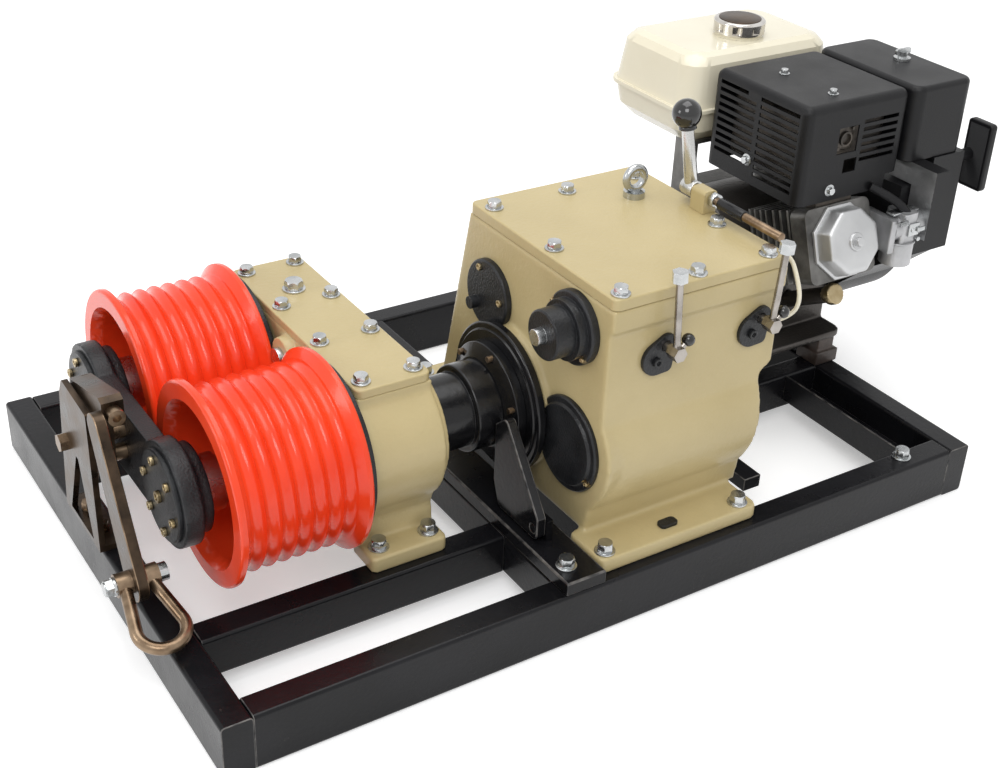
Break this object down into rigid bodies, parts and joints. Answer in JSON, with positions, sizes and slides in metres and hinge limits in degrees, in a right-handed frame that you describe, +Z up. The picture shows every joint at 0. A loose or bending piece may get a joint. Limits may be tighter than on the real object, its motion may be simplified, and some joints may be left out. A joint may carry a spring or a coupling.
{
  "type": "bull wheel winch",
  "caption": "Petrol-engined bull wheel winch on a tube skid: two grooved rope drums, drum gearbox, change-speed gearbox with levers, anchor bracket with shackle, and single-cylinder engine.",
  "frame": {"origin": "On the floor, in the middle of the underside of the centre cross rail", "axes": "X along the skid from the anchor end to the engine, Y across it away from the shift levers, Z up"},
  "size_m": [1.4261, 0.8, 0.5986],
  "materials": {
    "frame_paint": "satin black paint",
    "drum_enamel": "glossy orange-red enamel",
    "beige_enamel": "satin beige enamel on castings",
    "black_iron": "black painted castings and turned caps",
    "bright_steel": "bare turned steel",
    "gear_steel": "oiled cut gears",
    "zinc": "zinc-plated fasteners",
    "passivated_steel": "yellow-brown passivated steel",
    "brown_iron": "brown cast feet",
    "cast_alloy": "die-cast aluminium",
    "engine_black": "matte heat-resistant black",
    "black_plastic": "matte black mouldings",
    "cream_paint": "glossy cream tank paint",
    "chrome": "plated pressed cap"
  },
  "bodies": {
    "skid": {"end_rail_left": "frame_paint", "end_rail_right": "frame_paint", "long_rail_near": "frame_paint", "long_rail_far": "frame_paint", "inner_rails": "frame_paint", "cross_rail_mid": "frame_paint", "cross_rail_centre": "frame_paint", "engine_rails": "frame_paint", "cross_bar": "frame_paint", "trays": "frame_paint", "deck_bolts": "zinc", "bearing_bridge": "black_iron", "bearing_caps": "black_iron", "drum_box_case": "beige_enamel", "drum_box_cover": "beige_enamel", "cover_bolts": "zinc", "main_case": "beige_enamel", "main_cover": "beige_enamel", "lifting_eye": "zinc", "side_caps": "black_iron", "shift_plates": "black_iron", "pawl_pin": "black_iron", "anchor_bracket": "passivated_steel", "anchor_bolts": "passivated_steel", "anchor_arm": "passivated_steel", "shackle_pin": "passivated_steel", "clutch_bell": "black_iron", "engine_feet": "brown_iron", "crankcase": "cast_alloy", "cylinder_and_head": "cast_alloy", "rocker_cover": "cast_alloy", "muffler_guard": "engine_black", "muffler": "engine_black", "air_cleaner": "black_plastic", "fuel_tank": "cream_paint", "tank_bracket": "cast_alloy", "blower_housing": "black_plastic", "carburettor": "cast_alloy"},
    "near_line": {"drum_near": "drum_enamel", "shaft_near": "bright_steel", "drive_flange_near": "black_iron", "drum_gear_near": "gear_steel", "coupling_sleeve": "black_iron", "coupling_hub": "black_iron", "coupling_screws": "passivated_steel", "brake_disc": "black_iron"},
    "far_line": {"drum_far": "drum_enamel", "shaft_far": "bright_steel", "drive_flange_far": "black_iron", "drum_gear_far": "gear_steel"},
    "idler": {"idler_gear": "gear_steel"},
    "engine_shaft": {"crankshaft": "bright_steel"},
    "left_shift": {"shift_lever_left": "bright_steel"},
    "right_shift": {"shift_lever_right": "bright_steel"},
    "clutch_control": {"clutch_lever": "bright_steel"},
    "pawl_arm": {"pawl": "black_iron"},
    "bow": {"shackle_bow": "passivated_steel"},
    "filler_cap": {"fuel_cap": "chrome"},
    "cleaner_nut": {"wing_nut": "zinc"},
    "starter": {"starter_grip": "black_plastic"}
  },
  "joints": [
    {"name": "near_drum_turn", "type": "hinge", "parent": "skid", "child": "near_line", "pos_m": [0, -0.135, 0.22], "axis": [1, 0, 0], "continuous": true},
    {"name": "far_drum_turn", "type": "hinge", "parent": "skid", "child": "far_line", "pos_m": [0, 0.135, 0.22], "axis": [1, 0, 0], "continuous": true},
    {"name": "idler_turn", "type": "hinge", "parent": "skid", "child": "idler", "pos_m": [0, 0, 0.23646], "axis": [1, 0, 0], "continuous": true},
    {"name": "crankshaft_turn", "type": "hinge", "parent": "skid", "child": "engine_shaft", "pos_m": [0, 0.03, 0.272], "axis": [1, 0, 0], "continuous": true},
    {"name": "clutch_lever_swing", "type": "hinge", "parent": "skid", "child": "clutch_control", "pos_m": [0.218, 0, 0.475], "axis": [0, 1, 0], "range_deg": [-20, 20]},
    {"name": "left_shift_swing", "type": "hinge", "parent": "skid", "child": "left_shift", "pos_m": [0.036, 0, 0.372], "axis": [0, 1, 0], "range_deg": [-18, 18]},
    {"name": "right_shift_swing", "type": "hinge", "parent": "skid", "child": "right_shift", "pos_m": [0.191, 0, 0.372], "axis": [0, 1, 0], "range_deg": [-18, 18]},
    {"name": "pawl_swing", "type": "hinge", "parent": "skid", "child": "pawl_arm", "pos_m": [0, -0.297, 0.118], "axis": [1, 0, 0], "range_deg": [0, 30]},
    {"name": "shackle_swing", "type": "hinge", "parent": "skid", "child": "bow", "pos_m": [-0.6, -0.152, 0.122], "axis": [-1, 0, 0], "range_deg": [0, 100]},
    {"name": "fuel_cap_turn", "type": "hinge", "parent": "skid", "child": "filler_cap", "pos_m": [0.523, 0.129, 0], "axis": [0, 0, 1], "range_deg": [0, 90]},
    {"name": "wing_nut_turn", "type": "hinge", "parent": "skid", "child": "cleaner_nut", "pos_m": [0.683, -0.065, 0], "axis": [0, 0, 1], "continuous": true},
    {"name": "starter_pull", "type": "slide", "parent": "skid", "child": "starter", "axis": [1, 0, 0], "range_m": [0, 0.06]}
  ],
  "couplings": [
    {"joint": "far_drum_turn", "follows": "near_drum_turn", "ratio": 1},
    {"joint": "idler_turn", "follows": "near_drum_turn", "ratio": -1.6154}
  ]
}
